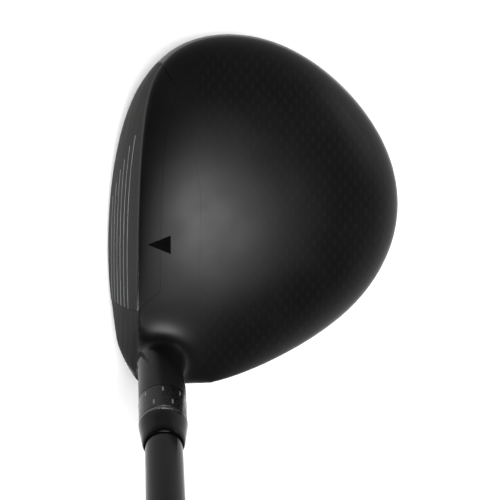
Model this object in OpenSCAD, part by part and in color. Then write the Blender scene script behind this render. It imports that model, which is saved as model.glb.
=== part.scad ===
// Fairway wood, right-handed, standing at address: a hollow steel head with a carbon crown, screwed to a
// tapered shaft with a rubber grip through an adjustable sleeve. Millimetres, +Z up, sole on the ground at Z = 0.
// +X points to the back of the head, +Y to the toe, and the shaft leans away from the toe as it rises.

/* [Head] */
// Loft: how far the face leans back
loft = 15; // [13:0.5:17]
// Apex height of the crown
crown_top = 39.6; // [39:0.1:41]
// Fall of the crown, mm for each mm squared away from its apex
crown_fall = 0.004; // [0.0036:0.0001:0.0042]
// Height of the sole's lowest skin above the ground
sole_rise = 0.4; // [0.3:0.05:0.6]
// Outward swell of the face and skirt at mid height
band_swell = 0.6; // [0.3:0.1:0.8]
// Wall of the cast body
wall = 1; // [0.9:0.1:1.4]
// Thickness of the forged face
face_t = 2; // [1.8:0.1:2.4]
// Radius of the flat land in the middle of the sole
land_r = 8; // [6:0.5:9]

/* [Crown panel] */
// Thickness of the carbon panel
panel_t = 0.9; // [0.8:0.1:1.2]
// Thickness of the bond line under the panel
bond_t = 0.15; // [0.1:0.05:0.2]
// Width of the ledge that carries the panel
ledge_w = 6; // [4:0.5:8]

/* [Shaft line] */
// Lie: angle between shaft and ground
lie = 57; // [55:0.5:59]
// Where the shaft's axis meets the ground, behind the middle of the sole
axis_x = -28.3; // [-29:0.1:-28]
// Where the shaft's axis meets the ground, toward the toe
axis_y = -25; // [-26:0.5:-24]
// Length of the club along the shaft's axis
club_len = 1092; // [1060:1:1110]
// Outside radius of hosel and index ring
hosel_r = 6.7; // [6.6:0.05:6.9]
// Top of the cast hosel, along the axis from the ground
hosel_top = 59.3; // [58:0.1:60]
// Height of the index ring
ring_h = 8.7; // [8:0.1:9]

/* [Sleeve and shaft] */
// Outside radius of the sleeve's barrel
sleeve_r = 5.75; // [5.7:0.01:5.76]
// Radius of the shaft's parallel tip
tip_r = 4.7; // [4.6:0.05:4.7]
// Radius of the shaft where it leaves the ferrule
shaft_r = 5.15; // [5:0.05:5.2]
// Radius of the shaft's butt
butt_r = 7.6; // [7.3:0.1:7.8]
// Length of the ferrule
ferrule_h = 7.6; // [7:0.1:8]
// Radius of the ferrule's thin end
ferrule_end_r = 5.5; // [5.4:0.05:5.6]

/* [Grip] */
// Length of the grip
grip_len = 267; // [255:1:275]
// Radius of the grip at the butt
grip_butt_r = 13.4; // [13:0.1:14]
// Radius of the grip at its mouth
grip_mouth_r = 8.4; // [8.3:0.1:9]
// Radius of the vent hole in the cap
vent_r = 1.75; // [1.5:0.05:2]

/* [Screws and weights] */
// Thread radius of the hosel screw
hosel_thread_r = 2.5; // [2.4:0.1:2.5]
// Thread radius of the weight screws
weight_thread_r = 2; // [1.9:0.1:2]
// Radius of the front weight
front_weight_r = 8; // [7:0.1:8.5]
// Radius of the rear weight
rear_weight_r = 9; // [8:0.1:9.5]
// Radial clearance of threads and running fits
fit = 0.05; // [0.03:0.01:0.08]

/* [Hidden] */
$fn = 64;

// ---- Skin of the head -----------------------------------------------------------------------------------
// Control ring of the head, counter-clockwise from the back as seen from above. Each station holds x and y of
// the sole's edge, the heights of the crown's edge and of the sole's edge, its share of the loft (1 on the
// face), its share of the shaft's lean (1 at the heel) and how far the crown panel reaches toward the edge.
STATIONS = [
    [44.4, -4, 17, 11, 0, 0, 0.9],
    [41.2, 11.6, 17.5, 11, 0, 0, 0.9],
    [32.5, 25.5, 18.5, 12, 0, 0, 0.9],
    [20.5, 37, 20, 13, 0, 0, 0.9],
    [6, 45, 21.5, 14.5, 0, 0, 0.88],
    [-10, 47.2, 23, 16, 0, 0, 0.84],
    [-24.8, 43, 25, 18, 0.4, 0, 0.74],
    [-34.9, 32.2, 29, 16, 1, 0, 0.6],
    [-40, 17.5, 34, 9.5, 1, 0, 0.5],
    [-42.8, 2, 36.8, 5.5, 1, 0, 0.46],
    [-43.8, -14, 37.4, 4.2, 1, 0, 0.46],
    [-43.5, -29.5, 36.6, 5.5, 1, 0, 0.46],
    [-41.4, -42.8, 35.3, 11, 1, 0.1, 0.46],
    [-40.6, -49.3, 34.6, 20, 1, 0.6, 0.46],
    [-25.5, -52, 32, 23, 0.2, 0.9, 0.5],
    [-7.5, -51.6, 28, 18.5, 0, 0.5, 0.68],
    [11.5, -47.2, 22.5, 14.5, 0, 0, 0.86],
    [30.4, -34.8, 19, 12.5, 0, 0, 0.9],
    [41, -19.6, 17.5, 11.5, 0, 0, 0.9]];
station_count = len(STATIONS);
steps_between = 4;
ring_count = station_count * steps_between;
pole = [-2, -2];
crown_apex = [-18, -8];
sole_bend = [0.002, 0.0022];
roll_start = 0.32;

function blend4(t) = [(1 - t)^3, 3*t^3 - 6*t^2 + 4, -3*t^3 + 3*t^2 + 3*t + 1, t^3] / 6;
function at_station(u) =
    let (i = floor(u), w = blend4(u - i))
    w[0] * STATIONS[(i + station_count - 1) % station_count] + w[1] * STATIONS[i % station_count]
    + w[2] * STATIONS[(i + 1) % station_count] + w[3] * STATIONS[(i + 2) % station_count];
RING = [for (i = [0:ring_count - 1]) at_station(i / steps_between)];

function roll_off(rho) = 1 - sqrt(1 - max(0, (rho - roll_start) / (1 - roll_start))^3);
function toward_pole(p, t) = pole + (p - pole) * (1 - t / norm(p - pole));
function crown_base(p) = crown_top - crown_fall * ((p[0] - crown_apex[0])^2 + (p[1] - crown_apex[1])^2);
function sole_base(p) = sole_rise + sole_bend[0] * p[0]^2 + sole_bend[1] * p[1]^2;
// Point of the upright band (face and skirt): v runs from the sole's edge to the crown's, t is the inset
function band_xy(s, v, t) =
    let (rise = v * (s[2] - s[3]))
    toward_pole([s[0] + s[4] * rise * tan(loft), s[1] - s[5] * rise / tan(lie)], t - 4 * band_swell * v * (1 - v));
function band_pt(s, v, t) =
    let (p = band_xy(s, v, t), hi = s[2] - 0.8 * t, lo = s[3] + 0.8 * t)
    [p[0], p[1], lo + v * (hi - lo)];
function crown_pt(s, rho, t) =
    let (b = band_xy(s, 1, t), p = pole + rho * (b - pole), drop = crown_base(b) - t - (s[2] - 0.8 * t))
    [p[0], p[1], crown_base(p) - t - drop * roll_off(rho)];
function sole_pt(s, rho, t) =
    let (b = band_xy(s, 0, t), p = pole + rho * (b - pole), lift = s[3] + 0.8 * t - sole_base(b) - t)
    [p[0], p[1], sole_base(p) + t + lift * roll_off(rho)];

CROWN_RHO = [0.97, 0.9, 0.78, 0.6, 0.35];
SOLE_RHO = [0.3, 0.55, 0.75, 0.88, 0.96];
BAND_V = [0, 0.3, 0.7, 1];

function sole_rings(t) = [for (rho = SOLE_RHO) [for (s = RING) sole_pt(s, rho, t)]];
function band_rings(t) = [for (v = BAND_V) [for (s = RING) band_pt(s, v, t)]];
function crown_rings(t) = [for (rho = CROWN_RHO) [for (s = RING) crown_pt(s, rho, t)]];
function pole_low(t) = [pole[0], pole[1], sole_base(pole) + t];
function pole_high(t) = [pole[0], pole[1], crown_base(pole) - t];
function reversed(list) = [for (i = [len(list) - 1:-1:0]) list[i]];
function flattened(lists) = [for (list = lists) for (item = list) item];

// Quads between ring a and ring b of n points each, as triangles
function wall_faces(a, b, n) =
    [for (i = [0:n - 1]) let (j = (i + 1) % n) each [[a*n + i, b*n + j, a*n + j], [a*n + i, b*n + i, b*n + j]]];

// Solid from a chain of rings that is closed by a single point at each end
module capped_rings(first, rings, last) {
    n = len(rings[0]);
    m = len(rings);
    polyhedron(
        points = concat(flattened(rings), [first, last]),
        faces = concat(
            [for (k = [0:m - 2]) each wall_faces(k, k + 1, n)],
            [for (i = [0:n - 1]) [m*n, i, (i + 1) % n]],
            [for (i = [0:n - 1]) [m*n + 1, (m - 1)*n + (i + 1) % n, (m - 1)*n + i]]));
}

// Solid from rings whose last ring joins back to the first
module looped_rings(rings) {
    n = len(rings[0]);
    m = len(rings);
    polyhedron(points = flattened(rings), faces = [for (k = [0:m - 1]) each wall_faces(k, (k + 1) % m, n)]);
}

// Slab between two grids of points, each a list of rows
module slab(outer, inner) {
    rows = len(outer);
    cols = len(outer[0]);
    base = rows * cols;
    edge = concat(
        [for (j = [0:cols - 1]) j],
        [for (i = [1:rows - 1]) i*cols + cols - 1],
        [for (j = [cols - 2:-1:0]) (rows - 1)*cols + j],
        [for (i = [rows - 2:-1:1]) i*cols]);
    polyhedron(
        points = concat(flattened(outer), flattened(inner)),
        faces = concat(
            [for (i = [0:rows - 2]) for (j = [0:cols - 2]) let (a = i*cols + j) each [
                [a, a + cols, a + cols + 1], [a, a + cols + 1, a + 1],
                [base + a, base + a + cols + 1, base + a + cols], [base + a, base + a + 1, base + a + cols + 1]]],
            [for (k = [0:len(edge) - 1]) let (a = edge[k], b = edge[(k + 1) % len(edge)])
                each [[a, b, base + a], [b, base + b, base + a]]]));
}

// Whole head as one closed solid, inset by t
module head_skin(t) {
    capped_rings(pole_low(t), concat(sole_rings(t), band_rings(t), crown_rings(t)), pole_high(t));
}

// ---- Shaft line -----------------------------------------------------------------------------------------
// Everything on the shaft's axis is drawn upright, with its heights measured from the ground point, and
// then leant over
module on_axis() { translate([axis_x, axis_y, 0]) rotate([90 - lie, 0, 0]) children(); }
module up(h) { translate([0, 0, h]) children(); }
module tube(from, to, outer, inner) {
    difference() {
        up(from) cylinder(r = outer, h = to - from);
        up(from - 1) cylinder(r = inner, h = to - from + 2);
    }
}
module turned(profile) { rotate_extrude() polygon(profile); }

ring_gap = 0.05;
ring_top = hosel_top + ring_h;
bore_r = sleeve_r + fit;
seat_top = 19.5;
seat_floor = 16;
seat_hole_r = 3.1;
dog_h = 3;
dog_w = 2;
dog_count = 8;
sleeve_low = seat_top + dog_h + 0.5;
socket_floor = 34;
flange_h = 1.2;
ferrule_low = ring_top + flange_h + ring_gap;
ferrule_high = ferrule_low + ferrule_h;
port_r = 5.2;
port_mouth_r = 5.6;
port_mouth_top = 9.3;
washer_h = 1;
washer_r = 4.9;
screw_head_r = 4.2;
screw_head_h = 4.5;
thread_top = sleeve_low + 8.5;
socket_r = 2.2;
socket_depth = 2.6;
epoxy_gap = 0.12;
wall_tip = 1.6;
wall_butt = 1.2;
grip_low = club_len - grip_len;
cap_h = 5;
tape_t = 0.3;
sliver = 0.02;

function shaft_radius(a) = shaft_r + (butt_r - shaft_r) * (a - ferrule_high) / (club_len - ferrule_high);
function grip_radius(a) =
    grip_mouth_r + (grip_butt_r - grip_mouth_r) * ((a - grip_low) / grip_len)^1.25;

// ---- Sole ports -----------------------------------------------------------------------------------------
// Each weight sits in a round port whose axis is square to the sole: place, tilt, depth of its floor
front_port = [-23, 0, 1.5];
front_tilt = 5.3;
rear_port = [29.5, -4, 2.7];
rear_tilt = -12;
port_depth = 7;
weight_h = 6.2;
weight_recess = 0.4;
boss_wall = 1.8;
inner_tube_r = 6.5;
boss_h = 15;
weight_screw_len = 12.4;
weight_head_r = 3.6;
weight_head_h = 2.4;
weight_socket_r = 1.9;
badge_at = [3, 24, 1.9];
badge_tilt = [7.5, -0.7, 0];
badge_size = [22, 8];
badge_t = 0.8;
badge_recess = 1;

module in_port(place, tilt) { translate(place) rotate([0, tilt, 0]) children(); }
module front_place() { in_port(front_port, front_tilt) children(); }
module rear_place() { in_port(rear_port, rear_tilt) children(); }
module port_cut(radius) {
    up(-6) cylinder(r = radius + 0.15, h = port_depth + 6);
    up(port_depth - 1) cylinder(r = weight_thread_r + fit, h = boss_h - port_depth - 0.5);
}
module badge_place() { translate(badge_at) rotate(badge_tilt) children(); }
module badge_outline(margin) {
    reach = badge_size[0] / 2 - badge_size[1] / 2;
    hull() for (side = [-1, 1]) translate([side * reach, 0]) circle(r = badge_size[1] / 2 + margin);
}

// ---- Head -----------------------------------------------------------------------------------------------
function panel_rho(s, gap) = s[6] - gap / norm(band_xy(s, 1, 0) - pole);
ledge_t = panel_t + bond_t + 0.9;
BODY_CROWN_STEPS = [0.08, 0.25, 0.6, 1];
function body_crown_ring(step, t) = [for (s = RING) crown_pt(s, 1 - step * (1 - s[6]), t)];
function ledge_ring(reach, t) = [for (s = RING) crown_pt(s, panel_rho(s, reach), t)];

module body_shell() {
    capped_rings(
        pole_low(0),
        concat(
            sole_rings(0), band_rings(0),
            [for (step = BODY_CROWN_STEPS) body_crown_ring(step, 0)],
            [body_crown_ring(1, panel_t + bond_t), ledge_ring(ledge_w, panel_t + bond_t), ledge_ring(ledge_w, ledge_t)],
            [for (step = [0.9, 0.4]) body_crown_ring(step, ledge_t)],
            reversed(band_rings(wall)), reversed(sole_rings(wall))),
        pole_low(wall));
}

// Front patch of the skin, from the crown over the face to the sole: the forged face takes this region
cup_from = 26;
cup_to = 45;
cup_reach = 0.8;
function cup_row(row, t, extra) =
    [for (i = [cup_from:cup_to])
        let (s = at_station((i == cup_from ? i - extra : i == cup_to ? i + extra : i) / steps_between))
        row[0] == 0 ? sole_pt(s, row[1], t) : row[0] == 1 ? band_pt(s, row[1], t) : crown_pt(s, row[1], t)];
function cup_rows(extra) = [
    [0, cup_reach - extra * 0.02], [0, 0.87], [0, 0.94], [1, 0], [1, 0.25], [1, 0.5], [1, 0.75], [1, 1],
    [2, 0.97], [2, 0.9], [2, cup_reach - extra * 0.02]];
module face_patch(t_out, t_in, extra) {
    slab([for (row = cup_rows(extra)) cup_row(row, t_out, extra)],
         [for (row = cup_rows(extra)) cup_row(row, t_in, extra)]);
}

// Blend between hosel and crown: slices across the hosel, each with its height on the axis, its tilt toward
// level and how far it spreads to the front, the back, the toe and the heel
FLARE = [
    [58, 0, -0.25, -0.25, -0.25, -0.25],
    [54, 10, 0.5, 1.6, 0.9, 0.4],
    [49.5, 22, 1.2, 4, 2.5, 0.5],
    [44.5, 33, 1.2, 7.5, 5, 0.5],
    [39.5, 33, -0.6, 12, 9, 0.3],
    [36, 33, -0.6, 9, 6, 0.3]];
module flare_slice(s) {
    half_x = hosel_r + (s[2] + s[3]) / 2;
    half_y = hosel_r + (s[4] + s[5]) / 2;
    translate([(s[3] - s[2]) / 2, (s[4] - s[5]) / 2, s[0]]) rotate([-s[1], 0, 0])
        scale([1, half_y / half_x / cos(s[1]), 1]) cylinder(r = half_x, h = 0.2, $fn = 32);
}
module hosel_flare() {
    for (k = [0:len(FLARE) - 2]) hull() {
        flare_slice(FLARE[k]);
        flare_slice(FLARE[k + 1]);
    }
}

module casting() {
    difference() {
        union() {
            body_shell();
            intersection() {
                head_skin(0.4);
                union() {
                    on_axis() cylinder(r = inner_tube_r, h = 44);
                    front_place() up(-4) cylinder(r = front_weight_r + boss_wall, h = boss_h + 4);
                    rear_place() up(-4) cylinder(r = rear_weight_r + boss_wall, h = boss_h + 4);
                    badge_place() up(-2) cylinder(r = badge_size[0] / 2 + 1, h = 4.6);
                }
            }
            on_axis() hosel_flare();
            on_axis() up(47) cylinder(r = hosel_r, h = hosel_top - 47);
        }
        face_patch(-1, face_t + 0.6, 0.02);
    }
}

module head_body() {
    color([0.09, 0.09, 0.1]) difference() {
        union() {
            casting();
            cylinder(r = land_r, h = sole_rise + 1);
        }
        on_axis() up(seat_top) cylinder(r = bore_r, h = hosel_top);
        on_axis() up(seat_floor - 1) cylinder(r = seat_hole_r, h = 6);
        on_axis() up(-6) cylinder(r = port_r, h = seat_floor + 6);
        on_axis() up(-6) cylinder(r = port_mouth_r, h = port_mouth_top + 6);
        front_place() port_cut(front_weight_r);
        rear_place() port_cut(rear_weight_r);
        badge_place() up(-3) linear_extrude(3 + badge_recess) badge_outline(0.1);
    }
    color([0.09, 0.09, 0.1]) on_axis() seat_teeth();
}

module seat_teeth() {
    difference() {
        tube(seat_top - 0.5, seat_top + dog_h, bore_r + 0.3, seat_hole_r);
        for (k = [0:dog_count - 1]) rotate(k * 360 / dog_count)
            translate([0, -dog_w / 2 - 0.1, seat_top]) cube([bore_r + 1, dog_w + 0.2, dog_h + 1]);
    }
}

module face_cup() {
    color([0.45, 0.46, 0.48]) face_patch(0, face_t, 0);
}

// Panel rings: some by their share of the way to the edge, the last by their distance from it, so that the
// bond under them runs along the same facets
PANEL_STEPS = [0.35, 0.6];
PANEL_REACHES = [12, ledge_w - 0.4, ledge_w / 2, 0.4];
panel_gap = 0.12;
function panel_rings(t) = concat(
    [for (step = PANEL_STEPS) [for (s = RING) crown_pt(s, step * panel_rho(s, panel_gap), t)]],
    [for (reach = PANEL_REACHES) ledge_ring(reach, t)], [ledge_ring(panel_gap, t)]);
module crown_panel() {
    color([0.06, 0.06, 0.07]) capped_rings(
        pole_high(panel_t), concat(panel_rings(panel_t), reversed(panel_rings(0))), pole_high(0));
}

module crown_bond() {
    low = panel_t + bond_t - sliver;
    high = panel_t + 3 * sliver;
    color([0.7, 0.68, 0.5]) looped_rings([
        ledge_ring(ledge_w - 0.4, low), ledge_ring(ledge_w / 2, low), ledge_ring(0.4, low),
        ledge_ring(0.4, high), ledge_ring(ledge_w / 2, high), ledge_ring(ledge_w - 0.4, high)]);
}

module sole_badge() {
    color([0.3, 0.31, 0.33]) badge_place() up(badge_recess - bond_t - badge_t)
        linear_extrude(badge_t) badge_outline(0);
}

module badge_bond() {
    color([0.7, 0.68, 0.5]) badge_place() up(badge_recess - bond_t + sliver)
        linear_extrude(bond_t - 2 * sliver) badge_outline(-0.5);
}

// ---- Weights --------------------------------------------------------------------------------------------
module weight(radius) {
    difference() {
        up(weight_recess) cylinder(r = radius, h = weight_h);
        up(weight_recess - 1) cylinder(r = weight_head_r + 0.2, h = weight_head_h + 1.2);
        up(weight_recess) cylinder(r = weight_thread_r + 0.2, h = weight_h + 2);
    }
}
module weight_screw() {
    head_low = weight_recess + 0.1;
    difference() {
        union() {
            up(head_low) cylinder(r = weight_head_r, h = weight_head_h);
            up(head_low) cylinder(r = weight_thread_r, h = weight_screw_len);
        }
        up(head_low - 1) cylinder(r = weight_socket_r, h = 2.7, $fn = 6);
    }
}
module front_weight() { color([0.55, 0.56, 0.58]) front_place() weight(front_weight_r); }
module front_weight_screw() { color([0.3, 0.3, 0.32]) front_place() weight_screw(); }
module rear_weight() { color([0.55, 0.56, 0.58]) rear_place() weight(rear_weight_r); }
module rear_weight_screw() { color([0.3, 0.3, 0.32]) rear_place() weight_screw(); }

// ---- Adjustable hosel -----------------------------------------------------------------------------------
module index_ring() {
    color([0.12, 0.12, 0.13]) on_axis() tube(hosel_top + ring_gap, ring_top - ring_gap, hosel_r, sleeve_r + fit);
}

module adapter_sleeve() {
    color([0.35, 0.36, 0.38]) on_axis() difference() {
        union() {
            up(sleeve_low) cylinder(r = sleeve_r, h = ring_top - sleeve_low + 0.5);
            up(ring_top) cylinder(r = hosel_r + 0.05, h = flange_h);
            for (k = [0:dog_count - 1]) rotate(k * 360 / dog_count)
                translate([seat_hole_r + 0.6, -dog_w / 2, seat_top + 0.6])
                    cube([sleeve_r - seat_hole_r - 0.9, dog_w, dog_h]);
        }
        up(socket_floor) cylinder(r = tip_r + epoxy_gap, h = club_len);
        up(seat_top - 1) cylinder(r = hosel_thread_r + fit, h = thread_top - seat_top + 2);
    }
}

module sleeve_epoxy() {
    color([0.75, 0.7, 0.45]) on_axis()
        tube(socket_floor + 1, ring_top - 1, tip_r + epoxy_gap - sliver, tip_r + sliver);
}

module ferrule() {
    lip = ferrule_low + 0.6;
    color([0.03, 0.03, 0.03]) on_axis() turned([
        [tip_r + 0.05, ferrule_low], [hosel_r + 0.02, ferrule_low], [hosel_r, lip],
        [ferrule_end_r + 0.35, ferrule_high - 0.8], [ferrule_end_r, ferrule_high],
        [shaft_r + 0.03, ferrule_high], [tip_r + 0.05, ferrule_high - 4.5]]);
}

module hosel_screw() {
    head_low = seat_floor - washer_h - screw_head_h - 0.1;
    color([0.5, 0.5, 0.52]) on_axis() difference() {
        union() {
            up(head_low) cylinder(r = screw_head_r, h = screw_head_h);
            up(head_low) cylinder(r = hosel_thread_r, h = thread_top - head_low);
        }
        up(head_low - 1) cylinder(r = socket_r, h = socket_depth + 1, $fn = 6);
    }
}

module hosel_washer() {
    color([0.6, 0.6, 0.62]) on_axis()
        tube(seat_floor - washer_h - 0.05, seat_floor - 0.05, washer_r, hosel_thread_r + 0.15);
}

module screw_retainer() {
    low = port_mouth_top;
    color([0.15, 0.15, 0.15]) on_axis() tube(low, low + 0.9, port_r - sliver, screw_head_r - 1);
}

// ---- Shaft and grip -------------------------------------------------------------------------------------
module shaft() {
    foot = socket_floor + 0.3;
    color([0.04, 0.04, 0.05]) on_axis() turned([
        [tip_r - wall_tip, foot], [tip_r, foot], [tip_r, ferrule_high - 4.5],
        [shaft_r, ferrule_high], [butt_r, club_len - 3],
        [butt_r - wall_butt, club_len - 3], [shaft_r - wall_tip, ferrule_high + 40],
        [tip_r - wall_tip, ferrule_high - 4.5]]);
}

module tip_plug() {
    color([0.85, 0.75, 0.5]) on_axis() up(socket_floor + 2) cylinder(r = tip_r - wall_tip - sliver, h = 8);
}

module grip_tape() {
    from = grip_low + 8;
    to = club_len - 4;
    color([0.85, 0.85, 0.8]) on_axis() turned([
        [shaft_radius(from) + 0.03, from], [shaft_radius(from) + tape_t, from],
        [shaft_radius(to) + tape_t, to], [shaft_radius(to) + 0.03, to]]);
}

module grip() {
    steps = 10;
    top = club_len - cap_h;
    gap = tape_t + 0.05;
    color([0.05, 0.05, 0.05]) on_axis() turned(concat(
        [[shaft_radius(grip_low) + gap, grip_low], [grip_mouth_r - 0.8, grip_low], [grip_mouth_r, grip_low + 1.5]],
        [for (k = [1:steps]) let (a = grip_low + k * (top - grip_low) / steps) [grip_radius(a), a]],
        [[shaft_radius(top) + gap, top]]));
}

module grip_cap() {
    low = club_len - cap_h + 0.02;
    color([0.05, 0.05, 0.05]) on_axis() turned([
        [shaft_radius(low) + tape_t + 0.05, low], [grip_radius(low) + 0.4, low],
        [grip_radius(low) + 0.8, low + 1], [grip_radius(low) + 0.4, low + 2.4],
        [grip_radius(low) - 2.5, club_len - 0.6], [grip_radius(low) - 6, club_len],
        [vent_r, club_len], [vent_r, club_len - 2.8],
        [shaft_radius(low) + tape_t + 0.05, club_len - 2.8]]);
}

head_body();
face_cup();
crown_panel();
crown_bond();
sole_badge();
badge_bond();
front_weight();
front_weight_screw();
rear_weight();
rear_weight_screw();
index_ring();
hosel_screw();
hosel_washer();
screw_retainer();
adapter_sleeve();
sleeve_epoxy();
ferrule();
shaft();
tip_plug();
grip_tape();
grip();
grip_cap();
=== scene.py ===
"""Finishes and fine shapes of an adjustable fairway wood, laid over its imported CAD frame."""
import logging
import math
from dataclasses import dataclass, field
from enum import Enum

import bmesh
import bpy
import numpy as np
from mathutils import Euler, Matrix, Vector
from mathutils.bvhtree import BVHTree


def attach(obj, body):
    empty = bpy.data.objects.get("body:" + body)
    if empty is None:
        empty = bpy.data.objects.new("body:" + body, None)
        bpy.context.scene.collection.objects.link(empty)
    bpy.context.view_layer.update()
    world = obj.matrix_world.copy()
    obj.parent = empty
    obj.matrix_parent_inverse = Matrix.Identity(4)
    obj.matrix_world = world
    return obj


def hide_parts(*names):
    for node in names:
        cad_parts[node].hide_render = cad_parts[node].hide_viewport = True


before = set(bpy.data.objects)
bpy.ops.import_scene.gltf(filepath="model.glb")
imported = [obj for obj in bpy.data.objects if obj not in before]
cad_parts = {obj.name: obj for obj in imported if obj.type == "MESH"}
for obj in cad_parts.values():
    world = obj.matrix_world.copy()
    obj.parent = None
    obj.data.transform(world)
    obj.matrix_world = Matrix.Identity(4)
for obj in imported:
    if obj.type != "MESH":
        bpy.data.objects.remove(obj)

log = logging.getLogger("fairway_wood")
Socket, Piece = bpy.types.NodeSocket, bpy.types.Object
MM = 0.001
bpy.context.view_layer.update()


# ---- Mesh workshop --------------------------------------------------------------------------------------------------
def linked(name: str, data: bpy.types.ID) -> Piece:
    """A new object of the scene that holds these data."""
    made = bpy.data.objects.new(name, data)
    bpy.context.scene.collection.objects.link(made)
    return made


def mesh_object(name: str, points: np.ndarray, faces: list, smooth_angle: float = 35.0) -> Piece:
    """Make a mesh object at the origin from points in millimetres.

    Args:
        name: Name of the piece.
        points: Array of shape (n, 3), in millimetres in the shared frame.
        faces: Vertex indices of each face.
        smooth_angle: Edges sharper than this many degrees stay crisp.

    Returns:
        The new object, linked to the scene.
    """
    mesh = bpy.data.meshes.new(name)
    mesh.from_pydata((np.asarray(points) * MM).tolist(), [], faces)
    mesh.update()
    piece = linked(name, mesh)
    shade(piece, smooth_angle)
    return piece


def shade(piece: Piece, angle: float) -> None:
    """Shade a piece smooth apart from its edges sharper than angle degrees."""
    piece.data.shade_smooth()
    piece.data.set_sharp_from_angle(angle=math.radians(angle))


def grid_faces(rows: int, cols: int, wrap: bool) -> list:
    """List the quads of a grid of points.

    Args:
        rows: Number of rows of points.
        cols: Number of points in a row.
        wrap: Whether each row closes on itself.

    Returns:
        Quads that face outwards where rows climb and points run counter-clockwise from above.
    """
    last = cols if wrap else cols - 1
    return [(r * cols + c, r * cols + (c + 1) % cols, (r + 1) * cols + (c + 1) % cols, (r + 1) * cols + c)
            for r in range(rows - 1) for c in range(last)]


def capped(rings: list, low: np.ndarray, high: np.ndarray) -> tuple:
    """Close a chain of rings with a fan at each end.

    Args:
        rings: Arrays of shape (n, 3), from the low end to the high end.
        low: Point that closes the first ring.
        high: Point that closes the last ring.

    Returns:
        Points and faces of the closed surface.
    """
    n, m = len(rings[0]), len(rings)
    faces = grid_faces(m, n, True)
    faces += [(m * n, (i + 1) % n, i) for i in range(n)]
    faces += [(m * n + 1, (m - 1) * n + i, (m - 1) * n + (i + 1) % n) for i in range(n)]
    return np.vstack([*rings, low, high]), faces


def slab(outer: np.ndarray, inner: np.ndarray) -> tuple:
    """Close the space between two grids of points of shape (rows, cols, 3) into points and faces."""
    rows, cols = outer.shape[:2]
    base = rows * cols
    edge = [*range(cols), *[r * cols + cols - 1 for r in range(1, rows)],
            *[(rows - 1) * cols + c for c in range(cols - 2, -1, -1)], *[r * cols for r in range(rows - 2, 0, -1)]]
    face = grid_faces(rows, cols, False)
    faces = [f[::-1] for f in face] + [tuple(base + i for i in f) for f in face]
    faces += [(a, b, base + b, base + a) for a, b in zip(edge, edge[1:] + edge[:1])]
    return np.vstack([outer.reshape(-1, 3), inner.reshape(-1, 3)]), faces


def chamfered(profile: list, size: float) -> list:
    """Cut the corners of a closed profile.

    Args:
        profile: Corners (radius, height), in millimetres.
        size: Length cut from each side of a corner.

    Returns:
        The longer list of corners.
    """
    out: list = []
    for before, here, after in zip(profile[-1:] + profile[:-1], profile, profile[1:] + profile[:1]):
        p = np.array(here, float)
        a, b = np.array(before) - p, np.array(after) - p
        la, lb = np.linalg.norm(a), np.linalg.norm(b)
        bend = math.degrees(math.acos(max(-1.0, min(1.0, float(a @ b) / (la * lb)))))
        if bend > 150 or here[0] < 0.01:
            out.append(tuple(p))
            continue
        cut = min(size, 0.35 * la, 0.35 * lb)
        out += [tuple(p + a / la * cut), tuple(p + b / lb * cut)]
    return out


def turned(name: str, profile: list, place: Matrix, segments: int = 96, chamfer: float = 0.15,
           angle: float = 25.0) -> Piece:
    """Turn a closed profile about its axis, like a piece on a lathe.

    Args:
        name: Name of the piece.
        profile: Corners (radius, height), in millimetres; a radius of 0 lies on the axis.
        place: Matrix from the upright frame to the shared one, in millimetres.
        segments: Number of steps round the axis.
        chamfer: Size of the broken edges.
        angle: Edges sharper than this many degrees stay crisp.

    Returns:
        The turned piece.
    """
    corners = chamfered(profile, chamfer) if chamfer else profile
    turn = np.linspace(0, 2 * math.pi, segments, endpoint=False)
    points = np.array([[(r * math.cos(t), r * math.sin(t), h) for t in turn] for r, h in corners]).reshape(-1, 3)
    rows = len(corners)
    faces = grid_faces(rows, segments, True)
    faces += [((rows - 1) * segments + c, (rows - 1) * segments + (c + 1) % segments, (c + 1) % segments, c)
              for c in range(segments)]
    piece = mesh_object(name, moved(points, place), faces, angle)
    tidy_normals(piece, angle)
    return piece


def points_of(mesh: bpy.types.Mesh) -> np.ndarray:
    """A mesh's points as an array of shape (n, 3), in millimetres."""
    points = np.empty(len(mesh.vertices) * 3)
    mesh.vertices.foreach_get("co", points)
    return points.reshape(-1, 3) / MM


def cutter(name: str, radius: float, low: float, high: float, place: Matrix, segments: int = 96) -> Piece:
    """Plain round or prismatic solid with sharp edges, from height low to high."""
    return turned(name, [(0, low), (radius, low), (radius, high), (0, high)], place, segments, 0)


def moved(points: np.ndarray, place: Matrix) -> np.ndarray:
    """Carry points of shape (n, 3) by a matrix."""
    m = np.array(place)
    return points @ m[:3, :3].T + m[:3, 3]


def tidy_normals(piece: Piece, angle: float = 30.0) -> None:
    """Merge doubled points, drop collapsed faces and turn all faces outwards."""
    bm = bmesh.new()
    bm.from_mesh(piece.data)
    bmesh.ops.remove_doubles(bm, verts=bm.verts, dist=1e-6)
    bmesh.ops.dissolve_degenerate(bm, edges=bm.edges, dist=1e-7)
    bmesh.ops.recalc_face_normals(bm, faces=bm.faces)
    bm.to_mesh(piece.data)
    bm.free()
    shade(piece, angle)


def settle(piece: Piece) -> Piece:
    """Turn a piece and its live modifiers into one plain mesh."""
    graph = bpy.context.evaluated_depsgraph_get()
    mesh = bpy.data.meshes.new_from_object(piece.evaluated_get(graph))
    piece.modifiers.clear()
    piece.data = mesh
    return piece


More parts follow.
